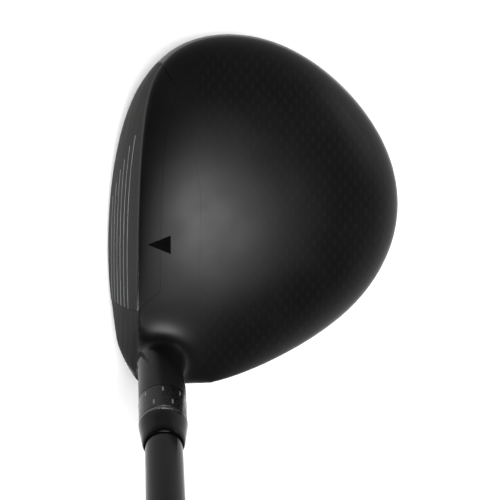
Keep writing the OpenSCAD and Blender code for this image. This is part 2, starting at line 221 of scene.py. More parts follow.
def shape_by(piece: Piece, tools: list, operation: str = "DIFFERENCE", angle: float = 30.0) -> None:
    """Cut or join solid tools into a piece, and throw the tools away.

    Args:
        piece: The piece that changes.
        tools: Closed solids in the same frame.
        operation: DIFFERENCE to cut, UNION to join.
        angle: Edges sharper than this many degrees stay crisp.
    """
    for tool in tools:
        step = piece.modifiers.new("shape", "BOOLEAN")
        step.solver, step.operation, step.object = "MANIFOLD", operation, tool
        step.material_mode = "TRANSFER"
    before = len(piece.data.polygons)
    settle(piece)
    log.info("%s: %d faces after %s of %d tools (%d before)", piece.name, len(piece.data.polygons), operation,
             len(tools), before)
    for tool in tools:
        bpy.data.objects.remove(tool)
    shade(piece, angle)


def joined(pieces: list) -> Piece:
    """Put several meshes into the first one, keeping their materials."""
    with bpy.context.temp_override(active_object=pieces[0], selected_editable_objects=pieces, object=pieces[0]):
        bpy.ops.object.join()
    return pieces[0]


def dress(piece: Piece, finish: "Finish", body: str, slot: str, *nodes: str) -> Piece:
    """Give a piece its finish, its body and the CAD nodes that it stands for.

    Args:
        piece: The finished piece.
        finish: Its finish.
        body: CAD body that it moves with.
        slot: Material slot of the record; not used.
        nodes: CAD nodes that it replaces.

    Returns:
        The same piece.
    """
    if not piece.data.materials:
        piece.data.materials.append(finish.material())
    elif piece.data.materials[0] is None:
        piece.data.materials[0] = finish.material()
    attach(piece, body)
    if nodes:
        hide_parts(*nodes)
    log.info("%s rides on %s, %d faces", piece.name, body, len(piece.data.polygons))
    return piece


# ---- Finishes -------------------------------------------------------------------------------------------------------
class Maths:
    """Short names for the commonest Math nodes; a kind of tree adds its own math method."""

    def times(self, *values: object) -> Socket:
        """The product of two numbers."""
        return self.math("MULTIPLY", *values)

    def plus(self, *values: object) -> Socket:
        """The sum of two numbers."""
        return self.math("ADD", *values)

    def minus(self, *values: object) -> Socket:
        """The first number less the second."""
        return self.math("SUBTRACT", *values)


class Graph(Maths):
    """Short way to write a shader tree."""

    def __init__(self, name: str) -> None:
        """Start a material with one surface shader."""
        self.material = bpy.data.materials.new(name)
        self.material.use_nodes = True
        self.tree = self.material.node_tree
        self.shader = self.tree.nodes["Principled BSDF"]
        self.here = self.node("ShaderNodeTexCoord").outputs["Object"]

    def node(self, kind: str, **settings: object) -> bpy.types.Node:
        """Add a node and set its properties."""
        made = self.tree.nodes.new(kind)
        for key, value in settings.items():
            setattr(made, key, value)
        return made

    def feed(self, socket: Socket, value: object) -> None:
        """Set a socket to a number or colour, or link another socket to it."""
        if isinstance(value, Socket):
            self.tree.links.new(value, socket)
        else:
            socket.default_value = value

    def math(self, operation: str, *values: object) -> Socket:
        """Add a Math node on numbers or sockets and return its output."""
        made = self.node("ShaderNodeMath", operation=operation)
        for socket, value in zip(made.inputs, values):
            self.feed(socket, value)
        return made.outputs[0]

    def ramp(self, value: object, low: float, high: float, out_low: float = 0.0,
             out_high: float = 1.0) -> Socket:
        """Map a value smoothly from the range low to high to the range out_low to out_high."""
        made = self.node("ShaderNodeMapRange", interpolation_type="SMOOTHSTEP")
        for key, number in zip(("Value", "From Min", "From Max", "To Min", "To Max"),
                               (value, low, high, out_low, out_high)):
            self.feed(made.inputs[key], number)
        return made.outputs["Result"]

    def blend(self, share: object, first: object, second: object) -> Socket:
        """Mix two colours by a share from 0 to 1."""
        made = self.node("ShaderNodeMix", data_type="RGBA")
        self.feed(made.inputs["Factor"], share)
        self.feed(made.inputs[6], first)
        self.feed(made.inputs[7], second)
        return made.outputs[2]

    def mapped(self, location: tuple = (0, 0, 0), rotation: tuple = (0, 0, 0), scale: tuple = (1, 1, 1),
               vector: Socket | None = None) -> Socket:
        """Coordinates moved into a texture's own frame, by location, rotation and scale."""
        made = self.node("ShaderNodeMapping", vector_type="POINT")
        self.feed(made.inputs["Vector"], vector or self.here)
        for key, value in (("Location", location), ("Rotation", rotation), ("Scale", scale)):
            made.inputs[key].default_value = value
        return made.outputs["Vector"]

    def split(self, vector: Socket) -> tuple:
        """The X, Y and Z of a vector socket."""
        made = self.node("ShaderNodeSeparateXYZ")
        self.feed(made.inputs[0], vector)
        return tuple(made.outputs)

    def noise(self, scale: float, detail: float = 3.0, vector: Socket | None = None,
              roughness: float = 0.5) -> Socket:
        """Noise from 0 to 1 of so many waves in a metre."""
        made = self.node("ShaderNodeTexNoise")
        self.feed(made.inputs["Vector"], vector or self.here)
        for key, value in (("Scale", scale), ("Detail", detail), ("Roughness", roughness)):
            made.inputs[key].default_value = value
        return made.outputs[0]

    def bump(self, height: Socket, distance: float) -> None:
        """Raise the surface by height times distance metres."""
        made = self.node("ShaderNodeBump")
        made.inputs["Strength"].default_value = 1.0
        made.inputs["Distance"].default_value = distance
        self.feed(made.inputs["Height"], height)
        self.feed(self.shader.inputs["Normal"], made.outputs[0])

    def set(self, **values: object) -> None:
        """Set the surface shader's inputs; an underscore stands for a space."""
        for key, value in values.items():
            self.feed(self.shader.inputs[key.replace("_", " ")], value)

    def attribute(self, name: str) -> Socket:
        """A number that the mesh carries at its points."""
        return self.node("ShaderNodeAttribute", attribute_name=name).outputs["Fac"]


def grey(value: float, warm: float = 0.0) -> tuple:
    """An opaque grey, slightly warm or cold."""
    return (value * (1 + warm), value, value * (1 - warm), 1.0)


@dataclass(frozen=True)
class Finish:
    """A surface finish; each one is built once and shared."""

    name: str

    def material(self) -> bpy.types.Material:
        """The finish's material, built on its first use."""
        found = bpy.data.materials.get(f"{self.name}_finish")
        if found:
            return found
        graph = Graph(f"{self.name}_finish")
        self.build(graph)
        return graph.material

    def build(self, graph: Graph) -> None:
        """Fill in the shader tree."""


@dataclass(frozen=True)
class HeadPaint(Finish):
    """Satin black paint, worn through to bare steel over the face."""

    base: float = 0.0022
    rough: float = 0.37
    gloss: float = 0.13
    steel: float = 0.05
    bevel: float = 0.06
    grazing: float = 0.42
    # Tone of the twill floats: partly their own colour, partly painted sheen.
    thread: float = 0.0048
    panel: bool = False

    def build(self, graph: Graph) -> None:
        """Fill in the shader tree."""
        x, y, z = graph.split(graph.here)
        peel = graph.noise(900.0, 2.0)
        haze = graph.noise(60.0, 4.0)
        rough = graph.ramp(haze, 0.3, 0.7, self.rough - 0.03, self.rough + 0.04)
        paint = graph.blend(haze, grey(self.base), grey(self.base * 1.25, -0.03))
        height = graph.times(peel, 0.12)
        dash, twill_and_sheen_share = self.weave(graph, x, y)
        if not self.panel:
            twill_and_sheen_share = graph.times(twill_and_sheen_share, graph.ramp(graph.attribute("rise"), 1.4, 2.2))
        # Painted sheen: the lighter floats stand partly for light caught by the weave.
        twill_and_sheen = graph.times(dash, twill_and_sheen_share)
        paint = graph.blend(twill_and_sheen, paint, grey(self.thread, -0.02))
        rough = graph.minus(rough, graph.times(twill_and_sheen, 0.015))
        height = graph.plus(height, graph.times(twill_and_sheen, 0.06))
        if self.panel:
            graph.set(Base_Color=paint, Roughness=rough, Specular_IOR_Level=self.gloss)
            graph.bump(height, 0.00003)
            return
        rise, along = graph.attribute("rise"), graph.attribute("station")
        front = graph.times(graph.ramp(along, 6.35, 6.5), graph.ramp(along, 12.75, 12.6))
        bare = graph.times(graph.ramp(rise, -0.34, -0.3), graph.ramp(rise, 1.08, 1.05))
        bare = graph.times(bare, front)
        edge = graph.times(graph.ramp(rise, 0.955, 0.975), bare)
        brush = graph.noise(1.0, 5.0, graph.mapped(scale=(260.0, 60.0, 2600.0)), 0.6)
        dots = self.milling(graph, y, z)
        steel = graph.blend(brush, grey(self.steel * 0.78), grey(self.steel * 1.2, 0.02))
        steel = graph.blend(dots, steel, grey(self.steel * 0.45))
        steel = graph.blend(edge, steel, grey(self.bevel))
        # Painted shade: the bare face steel darkens toward the heel.
        steel = graph.blend(graph.ramp(y, -0.02, -0.045), steel, grey(self.steel * 0.6))
        graph.set(Base_Color=graph.blend(bare, paint, steel), Metallic=bare, Specular_IOR_Level=self.gloss)
        graph.set(Specular_Tint=graph.blend(bare, grey(1.0), grey(self.grazing)))
        worn = graph.ramp(brush, 0.3, 0.7, 0.34, 0.5)
        graph.set(Roughness=graph.plus(graph.times(bare, worn),
                                       graph.times(graph.minus(1.0, bare), rough)))
        height = graph.plus(height, graph.times(bare, graph.minus(brush, dots)))
        graph.bump(height, 0.00003)

    @staticmethod
    def milling(graph: Graph, y: Socket, z: Socket) -> Socket:
        """Fine rows of milled dots at the toe end of the face."""
        pitch = 0.0009
        parts = []
        for value in (y, z):
            wave = graph.math("SINE", graph.times(value, 2 * math.pi / pitch))
            parts.append(graph.ramp(wave, 0.0, 0.8))
        return graph.times(graph.times(*parts), graph.ramp(y, 0.0, 0.03, 0.15, 0.9))

    @staticmethod
    def weave(graph: Graph, x: Socket, y: Socket) -> tuple:
        """Twill under clear paint: short floats in staggered rows, hidden toward the face, with painted sheen."""
        row_h, column = 0.00215, 0.0032
        row = graph.math("FLOOR", graph.math("DIVIDE", y, row_h))
        across = graph.math("FRACT", graph.math("DIVIDE", y, row_h))
        shift = graph.times(row, 0.5)
        along = graph.math("FRACT", graph.plus(graph.math("DIVIDE", x, column), shift))
        off_x = graph.math("ABSOLUTE", graph.minus(along, 0.5))
        off_y = graph.math("ABSOLUTE", graph.minus(across, 0.5))
        dash = graph.times(graph.ramp(off_x, 0.17, 0.08), graph.ramp(off_y, 0.49, 0.38))
        # Painted sheen: the floats fade near the crown's apex and show most toward its sloping edges.
        away = graph.math("SQRT", graph.plus(graph.math("POWER", graph.plus(x, 0.018), 2.0),
                                             graph.math("POWER", graph.plus(y, 0.008), 2.0)))
        twill_and_sheen_share = graph.times(graph.ramp(x, -0.024, -0.012), graph.ramp(away, 0.008, 0.045, 0.25, 1.0))
        thread = graph.noise(700.0, 2.0)
        return dash, graph.times(twill_and_sheen_share, graph.ramp(thread, 0.25, 0.6, 0.55, 1.0))


@dataclass(frozen=True)
class Metal(Finish):
    """Turned or brushed metal, with rings about its own axis."""

    tone: float = 0.4
    rough: float = 0.3
    ring: float = 0.0
    place: tuple = (0.0, 0.0, 0.0)
    lean: tuple = (0.0, 0.0, 0.0)

    def build(self, graph: Graph) -> None:
        """Fill in the shader tree."""
        grain = graph.noise(1400.0, 3.0)
        haze = graph.noise(90.0, 3.0)
        height = graph.times(grain, 0.4)
        if self.ring:
            centre = graph.mapped(location=tuple(-v for v in self.place))
            x, y, _ = graph.split(graph.mapped(rotation=self.lean, vector=centre))
            reach = graph.math("SQRT", graph.plus(graph.times(x, x), graph.times(y, y)))
            wave = graph.math("SINE", graph.times(reach, 2 * math.pi / self.ring))
            height = graph.plus(height, wave)
        colour = graph.blend(haze, grey(self.tone * 0.85), grey(self.tone * 1.1, 0.01))
        rough = graph.ramp(grain, 0.3, 0.7, self.rough - 0.05, self.rough + 0.08)
        graph.set(Base_Color=colour, Metallic=1.0, Roughness=rough)
        graph.bump(height, 0.000008)


@dataclass(frozen=True)
class Moulded(Finish):
    """Plastic, rubber, lacquer, glue, cork or tape: a tinted surface with fine grain."""

    tint: tuple = (0.02, 0.02, 0.02)
    rough: float = 0.5
    grain: float = 800.0
    depth: float = 0.00002
    spread: float = 0.2
    gloss: float = 0.5
    coat: float = 0.0
    sheen: float = 0.0
    stretch: tuple = (1.0, 1.0, 1.0)

    def build(self, graph: Graph) -> None:
        """Fill in the shader tree."""
        place = graph.mapped(scale=self.stretch)
        grain = graph.noise(self.grain, 4.0, place)
        haze = graph.noise(self.grain / 12, 3.0, place)
        dark = (*[c * (1 - self.spread) for c in self.tint], 1.0)
        light = (*[min(1.0, c * (1 + self.spread)) for c in self.tint], 1.0)
        colour = graph.blend(graph.ramp(haze, 0.3, 0.7), dark, light)
        graph.set(Base_Color=colour, Roughness=graph.ramp(grain, 0.3, 0.7, self.rough - 0.04, self.rough + 0.06))
        graph.set(Specular_IOR_Level=self.gloss, Coat_Weight=self.coat, Coat_Roughness=0.04, Sheen_Weight=self.sheen)
        graph.bump(grain, self.depth)


@dataclass(frozen=True)
class WovenBadge(Finish):
    """Brushed inlay with a plain herringbone of fine lines."""

    tone: float = 0.3

    def build(self, graph: Graph) -> None:
        """Fill in the shader tree."""
        x, y, _ = graph.split(graph.here)
        slant = graph.math("ABSOLUTE", graph.minus(graph.math("PINGPONG", x, 0.003), 0.0015))
        lines = graph.math("SINE", graph.times(graph.plus(y, slant), 2 * math.pi / 0.0012))
        brush = graph.noise(1.0, 4.0, graph.mapped(scale=(300.0, 3000.0, 300.0)))
        cut = graph.ramp(lines, 0.3, 0.7)
        graph.set(Base_Color=graph.blend(cut, grey(self.tone), grey(self.tone * 0.4)), Metallic=1.0,
                  Roughness=graph.ramp(brush, 0.3, 0.7, 0.25, 0.4))
        graph.bump(graph.minus(brush, cut), 0.00003)


LEAN = math.radians(33.0)
PAINT = HeadPaint("head_paint")
CROWN = HeadPaint("crown_carbon", panel=True)
GROOVE = Moulded("groove_paint", (0.24, 0.25, 0.26), 0.5, 900.0)
FACE_FINISH = HeadPaint("face_steel")
RING = Metal("ring_anodised", 0.022, 0.28)
MARK = Moulded("mark_paint", (0.09, 0.095, 0.1), 0.5, 1200.0)
DARK_MARK = Moulded("sight_mark", (0.0008, 0.0008, 0.0008), 0.65, 600.0, 0.000004, gloss=0.02)
SLEEVE = Metal("sleeve_metal", 0.06, 0.28, 0.0004, (-0.0283, -0.025, 0.0), (-LEAN, 0.0, 0.0))
SCREW = Metal("screw_steel", 0.28, 0.3)
FERRULE = Moulded("ferrule_plastic", (0.002, 0.002, 0.002), 0.15, 500.0, 0.000002, gloss=0.1)
LACQUER = Moulded("shaft_lacquer", (0.002, 0.002, 0.0025), 0.16, 400.0, 0.000003, gloss=0.12, stretch=(3, 0.2, 0.2))
RUBBER = Moulded("grip_rubber", (0.016, 0.016, 0.017), 0.62, 1600.0, 0.00006, 0.25, sheen=0.1)
GLUE = Moulded("glue", (0.62, 0.56, 0.36), 0.4, 700.0, 0.00003)
CORK = Moulded("cork", (0.5, 0.34, 0.18), 0.8, 900.0, 0.0001, 0.5)
TAPE = Moulded("tape", (0.7, 0.68, 0.6), 0.85, 1800.0, 0.00008, 0.15, stretch=(1, 1, 4))
NYLON = Moulded("nylon", (0.08, 0.08, 0.08), 0.45, 900.0, 0.00002)


# ---- Geometry Nodes -------------------------------------------------------------------------------------------------
class Recipe(Maths):
    """A Geometry Nodes tree with named inputs, run once on a piece and settled into its mesh."""

    def __init__(self, name: str, **inputs: object) -> None:
        """Start a tree whose inputs hold these values."""
        self.tree = bpy.data.node_groups.new(name, "GeometryNodeTree")
        face = self.tree.interface
        face.new_socket("Geometry", in_out="INPUT", socket_type="NodeSocketGeometry")
        face.new_socket("Geometry", in_out="OUTPUT", socket_type="NodeSocketGeometry")
        self.values = {}
        for key, value in inputs.items():
            kind = "NodeSocketInt" if isinstance(value, int) else "NodeSocketFloat"
            made = face.new_socket(key, in_out="INPUT", socket_type=kind)
            made.default_value = value
            self.values[made.identifier] = value
        self.start = self.tree.nodes.new("NodeGroupInput")
        self.end = self.tree.nodes.new("NodeGroupOutput")

    def __getitem__(self, key: str) -> Socket:
        """The socket of a named input."""
        return self.start.outputs[key]

    def node(self, kind: str, feeds: dict | None = None, **settings: object) -> bpy.types.Node:
        """Add a node.

        Args:
            kind: Its type, without the common first word.
            feeds: Values or sockets by the name or index of the node's input.
            settings: Properties of the node.

        Returns:
            The node.
        """
        prefix = "" if kind.startswith(("Shader", "Function")) else "GeometryNode"
        made = self.tree.nodes.new(prefix + kind)
        for key, value in settings.items():
            setattr(made, key, value)
        for key, value in (feeds or {}).items():
            if isinstance(value, Socket):
                self.tree.links.new(value, made.inputs[key])
            else:
                made.inputs[key].default_value = value
        return made

    def math(self, operation: str, *values: object) -> Socket:
        """Add a Math node and return its output."""
        return self.node("ShaderNodeMath", dict(enumerate(values)), operation=operation).outputs[0]

    def vector(self, x: object, y: object, z: object) -> Socket:
        """Combine three numbers into a vector."""
        return self.node("ShaderNodeCombineXYZ", {"X": x, "Y": y, "Z": z}).outputs[0]

    def run(self, name: str, geometry: Socket, finish: Finish, place: Matrix | None = None,
            seed: Piece | None = None) -> Piece:
        """End the tree in Realize Instances and Set Material, run it and settle the result.

        Args:
            name: Name of the piece that it makes.
            geometry: Socket that gives the shape, in millimetres.
            finish: Finish of all its faces.
            place: Matrix from the upright frame to the shared one, in millimetres.
            seed: Object whose mesh goes in, or nothing.

        Returns:
            The piece as a plain mesh in metres.
        """
        real = self.node("RealizeInstances", {0: geometry})
        dressed = self.node("SetMaterial", {0: real.outputs[0], "Material": finish.material()})
        self.tree.links.new(dressed.outputs[0], self.end.inputs[0])
        piece = seed or mesh_object(name, np.zeros((1, 3)), [])
        step = piece.modifiers.new(self.tree.name, "NODES")
        step.node_group = self.tree
        for key, value in self.values.items():
            step[key] = value
        settle(piece)
        scale = Matrix.Scale(MM, 4)
        piece.data.transform(scale @ (place or Matrix()))
        shade(piece, 30.0)
        return piece


def ring_recipe(name: str, shape: tuple, **sizes: object) -> Recipe:
    """A tree that sets small bars in staggered rows round a tapering stem.

    Args:
        name: Name of the tree.
        shape: Size of a bar, across the stem's surface: depth, width, length.
        sizes: rows, per_row, low, pitch, low_r, high_r, length, power, slant and stagger.

    Returns:
        The tree; its bars are at its "bars" socket.
    """
    made = Recipe(name, **sizes)
    index = made.node("InputIndex").outputs[0]
    row = made.math("FLOOR", made.math("DIVIDE", made.plus(index, 0.001), made["per_row"]))
    column = made.minus(index, made.times(row, made["per_row"]))
    odd = made.math("MODULO", row, 2.0)
    turn = made.math("DIVIDE", made.plus(column, made.times(odd, made["stagger"])), made["per_row"])
    angle = made.times(turn, 2 * math.pi)
    height = made.plus(made["low"], made.times(row, made["pitch"]))
    share = made.math("DIVIDE", made.times(row, made["pitch"]), made["length"])
    grown = made.math("POWER", share, made["power"])
    span = made.minus(made["high_r"], made["low_r"])
    reach = made.plus(made["low_r"], made.times(span, grown))
    spot = made.vector(made.times(reach, made.math("COSINE", angle)),
                       made.times(reach, made.math("SINE", angle)), height)
    count = made.times(made["rows"], made["per_row"])
    points = made.node("Points", {"Count": count, "Position": spot})
    bar = made.node("MeshCube", {"Size": shape})
    swing = made.times(made["slant"], made.minus(made.times(odd, 2.0), 1.0))
    bars = made.node("InstanceOnPoints", {"Points": points.outputs[0], "Instance": bar.outputs[0],
                                          "Rotation": made.vector(swing, 0.0, angle)})
    made.bars = bars.outputs[0]
    return made


def bars_round(name: str, shape: tuple, count: int, low: float, radius: float, finish: Finish, place: Matrix,
               rows: int = 1, pitch: float = 1.0, stagger: float = 0.0) -> Piece:
    """Set small bars round a straight stem.

    Args:
        name: Name of the piece.
        shape: Depth, width and length of a bar.
        count: Bars in a row.
        low: Height of the first row.
        radius: Radius of the stem.
        finish: Its finish.
        place: Matrix from the upright frame to the shared one, in millimetres.
        rows: Number of rows.
        pitch: Height from row to row.
        stagger: Share of a step by which every other row is turned.

    Returns:
        The bars as one piece.
    """
    made = ring_recipe(name, shape, rows=rows, per_row=count, low=low, pitch=pitch, low_r=radius, high_r=radius,
                       length=1.0, power=1.0, slant=0.0, stagger=stagger)
    return made.run(name, made.bars, finish, place)


def thread(name: str, radius: float, low: float, high: float, pitch: float, finish: Finish,
           place: Matrix) -> Piece:
    """Wind a screw thread as a ridge on its shank.

    Args:
        name: Name of the piece.
        radius: Outside radius of the thread.
        low: Height where it starts.
        high: Height where it ends.
        pitch: Rise in one turn.
        finish: Its finish.
        place: Matrix from the upright frame to the shared one, in millimetres.

    Returns:
        The thread.
    """
    made = Recipe(name, turns=(high - low) / pitch, radius=radius, rise=high - low, ridge=pitch * 0.5)
    middle = made.minus(made["radius"], made["ridge"])
    path = made.node("CurveSpiral", {"Resolution": 24, "Rotations": made["turns"], "Start Radius": middle,
                                     "End Radius": middle, "Height": made["rise"]})
    ridge = made.node("CurvePrimitiveCircle", {"Resolution": 6, "Radius": made["ridge"]})
    swept = made.node("CurveToMesh", {"Curve": path.outputs[0], "Profile Curve": ridge.outputs[0], "Fill Caps": True})
    lifted = made.node("Transform", {"Geometry": swept.outputs[0], "Translation": (0.0, 0.0, low)})
    return made.run(name, lifted.outputs[0], finish, place)


# ---- Shape of the head ----------------------------------------------------------------------------------------------
@dataclass(frozen=True)
class Skin:
    """The head's outer surface, from a ring of stations round its edge."""

    loft: float = 15.0
    lie: float = 57.0
    crown_top: float = 39.6
    crown_fall: float = 0.004
    sole_rise: float = 0.4
    swell: float = 0.6
    roll_start: float = 0.32
    pole: tuple = (-2.0, -2.0)
    apex: tuple = (-18.0, -8.0)
    bend: tuple = (0.002, 0.0022)
    stations: tuple = (
        (44.4, -4, 17, 11, 0, 0, 0.9), (41.2, 11.6, 17.5, 11, 0, 0, 0.9), (32.5, 25.5, 18.5, 12, 0, 0, 0.9),
        (20.5, 37, 20, 13, 0, 0, 0.9), (6, 45, 21.5, 14.5, 0, 0, 0.88), (-10, 47.2, 23, 16, 0, 0, 0.84),
        (-24.8, 43, 25, 18, 0.4, 0, 0.74), (-34.9, 32.2, 29, 16, 1, 0, 0.6), (-40, 17.5, 34, 9.5, 1, 0, 0.5),
        (-42.8, 2, 36.8, 5.5, 1, 0, 0.46), (-43.8, -14, 37.4, 4.2, 1, 0, 0.46), (-43.5, -29.5, 36.6, 5.5, 1, 0, 0.46),
        (-41.4, -42.8, 35.3, 11, 1, 0.1, 0.46), (-40.6, -49.3, 34.6, 20, 1, 0.6, 0.46),
        (-25.5, -52, 32, 23, 0.2, 0.9, 0.5), (-7.5, -51.6, 28, 18.5, 0, 0.5, 0.68),
        (11.5, -47.2, 22.5, 14.5, 0, 0, 0.86), (30.4, -34.8, 19, 12.5, 0, 0, 0.9),
        (41, -19.6, 17.5, 11.5, 0, 0, 0.9))

    def edge(self, u: np.ndarray) -> np.ndarray:
        """Blend the stations at places u, counted in stations, into rows of their seven values."""
        table, i = np.array(self.stations, float), np.floor(u).astype(int)
        t, n = (u - i)[:, None], len(self.stations)
        weights = ((1 - t) ** 3, 3 * t**3 - 6 * t**2 + 4, -3 * t**3 + 3 * t**2 + 3 * t + 1, t**3)
        return sum(w * table[(i + k - 1) % n] for k, w in enumerate(weights)) / 6

    def roll(self, rho: float) -> float:
        """How far crown and sole have dropped to their edges at the share rho of the way out."""
        return 1 - math.sqrt(1 - max(0.0, (rho - self.roll_start) / (1 - self.roll_start)) ** 3)

    def crown_base(self, p: np.ndarray) -> np.ndarray:
        """Height of the crown's middle part over points in plan."""
        return self.crown_top - self.crown_fall * ((p[..., 0] - self.apex[0])**2 + (p[..., 1] - self.apex[1])**2)

    def sole_base(self, p: np.ndarray) -> np.ndarray:
        """Height of the sole's middle part over points in plan."""
        return self.sole_rise + self.bend[0] * p[..., 0] ** 2 + self.bend[1] * p[..., 1] ** 2

    def band_plan(self, s: np.ndarray, v: float, t: float) -> np.ndarray:
        """Plan of the band at the share v of its height, inset by t."""
        rise = v * (s[:, 2] - s[:, 3])
        x = s[:, 0] + s[:, 4] * rise * math.tan(math.radians(self.loft))
        y = s[:, 1] - s[:, 5] * rise / math.tan(math.radians(self.lie))
        p, pole = np.stack([x, y], 1), np.array(self.pole)
        inset = t - 4 * self.swell * v * (1 - v)
        return pole + (p - pole) * (1 - inset / np.linalg.norm(p - pole, axis=1))[:, None]

    def band(self, s: np.ndarray, v: float, t: float = 0.0) -> np.ndarray:
        """Ring of the upright band, from the sole's edge at v = 0 to the crown's at v = 1."""
        hi, lo = s[:, 2] - 0.8 * t, s[:, 3] + 0.8 * t
        return np.column_stack([self.band_plan(s, v, t), lo + v * (hi - lo)])

    def crown(self, s: np.ndarray, rho: np.ndarray | float, t: float = 0.0) -> np.ndarray:
        """Ring of the crown at the share rho of the way from the pole to its edge."""
        b, pole = self.band_plan(s, 1.0, t), np.array(self.pole)
        rho = np.broadcast_to(np.asarray(rho, float), (len(s),))
        p = pole + rho[:, None] * (b - pole)
        drop = self.crown_base(b) - t - (s[:, 2] - 0.8 * t)
        fall = np.array([self.roll(r) for r in rho])
        return np.column_stack([p, self.crown_base(p) - t - drop * fall])

    def sole(self, s: np.ndarray, rho: float, t: float = 0.0) -> np.ndarray:
        """Ring of the sole at the share rho of the way from the pole to its edge."""
        b, pole = self.band_plan(s, 0.0, t), np.array(self.pole)
        p = pole + rho * (b - pole)
        lift = s[:, 3] + 0.8 * t - self.sole_base(b) - t
        return np.column_stack([p, self.sole_base(p) + t + lift * self.roll(rho)])

    def panel_rho(self, s: np.ndarray, gap: float) -> np.ndarray:
        """Share at which the crown panel ends, short of its reach by gap."""
        return s[:, 6] - gap / np.linalg.norm(self.band_plan(s, 1.0, 0.0) - np.array(self.pole), axis=1)


SKIN = Skin()


@dataclass(frozen=True)
class ShaftLine:
    """Where the shaft's axis runs; pieces on it are drawn upright and then leant over."""

    ground: tuple = (-28.3, -25.0, 0.0)
    lie: float = 57.0

    @property
    def place(self) -> Matrix:
        """Matrix from the upright frame to the shared one, in millimetres."""
        return Matrix.Translation(self.ground) @ Matrix.Rotation(math.radians(90 - self.lie), 4, "X")

    def upright(self, points: np.ndarray) -> np.ndarray:
        """Points in the upright frame."""
        return moved(points, self.place.inverted())


LINE = ShaftLine()


class Edge(Enum):
    """The three stretches that a section of the head runs through."""

    SOLE = 0
    BAND = 1
    CROWN = 2


def skin_ring(kind: Edge, s: np.ndarray, value: float, t: float = 0.0) -> np.ndarray:
    """Ring of the stretch kind at its share value, inset by t."""
    return {Edge.SOLE: SKIN.sole, Edge.BAND: SKIN.band, Edge.CROWN: SKIN.crown}[kind](s, value, t)


@dataclass
class Reference:
    """A fine copy of the skin, to find the nearest surface point and where on the skin it lies."""

    around: int = 380
    out: int = 44
    up: int = 20
    rows: list = field(default_factory=list)

    def __post_init__(self) -> None:
        """Build the fine grid and its search tree."""
        self.u = np.linspace(0, len(SKIN.stations), self.around, endpoint=False)
        s = SKIN.edge(self.u)
        ease = 1 - (1 - np.linspace(0.03, 1, self.out)) ** 1.7
        self.rows = [(Edge.SOLE, r) for r in ease[:-1]] + [(Edge.BAND, v) for v in np.linspace(0, 1, self.up)]
        self.rows += [(Edge.CROWN, r) for r in ease[-2::-1]]
        rings = [skin_ring(kind, s, value) for kind, value in self.rows]
        pole = np.array(SKIN.pole)
        self.points, self.faces = capped(rings, np.array([*pole, SKIN.sole_base(pole)]),
                                         np.array([*pole, SKIN.crown_base(pole)]))
        self.tree = BVHTree.FromPolygons(self.points.tolist(), self.faces)
        self.rise = np.array([{Edge.SOLE: -10 * (1 - v), Edge.BAND: v, Edge.CROWN: 1 + 10 * (1 - v)}[kind]
                              for kind, v in self.rows])

    def nearest(self, points: np.ndarray) -> tuple:
        """Find the skin's nearest points.

        Args:
            points: Array of shape (n, 3), in millimetres.

        Returns:
            Nearest points, unit normals, signed distances and face numbers.
        """
        hits = [self.tree.find_nearest(p) for p in points.tolist()]
        near, normal = np.array([h[0] for h in hits]), np.array([h[1] for h in hits])
        away = points - near
        distance = np.linalg.norm(away, axis=1) * np.where((away * normal).sum(1) < 0, -1, 1)
        return near, normal, distance, np.array([h[2] for h in hits])

    def mark(self, piece: Piece) -> None:
        """Write where each point lies on the skin: its rise over the edge and its station."""
        mesh = piece.data
        near, _, gap, face = self.nearest(points_of(mesh))
        row, col = face // self.around, face % self.around
        inside = face < (len(self.rows) - 1) * self.around
        row = np.where(inside, row, 0)
        a = self.points[row * self.around + col]
        b = self.points[(row + 1) * self.around + col]
        c = self.points[row * self.around + (col + 1) % self.around]
        step = np.clip(((near - a) * (b - a)).sum(1) / np.maximum(((b - a)**2).sum(1), 1e-9), 0, 1)
        side = np.clip(((near - a) * (c - a)).sum(1) / np.maximum(((c - a)**2).sum(1), 1e-9), 0, 1)
        rise = self.rise[row] + step * (self.rise[row + 1] - self.rise[row])
        rise = np.where(inside, rise, 10.0) + np.maximum(gap - 0.35, 0.0)
        for name, values in (("rise", rise), ("station", self.u[col] + side * self.u[1])):
            made = mesh.attributes.new(name, "FLOAT", "POINT")
            made.data.foreach_set("value", values.astype(np.float32))


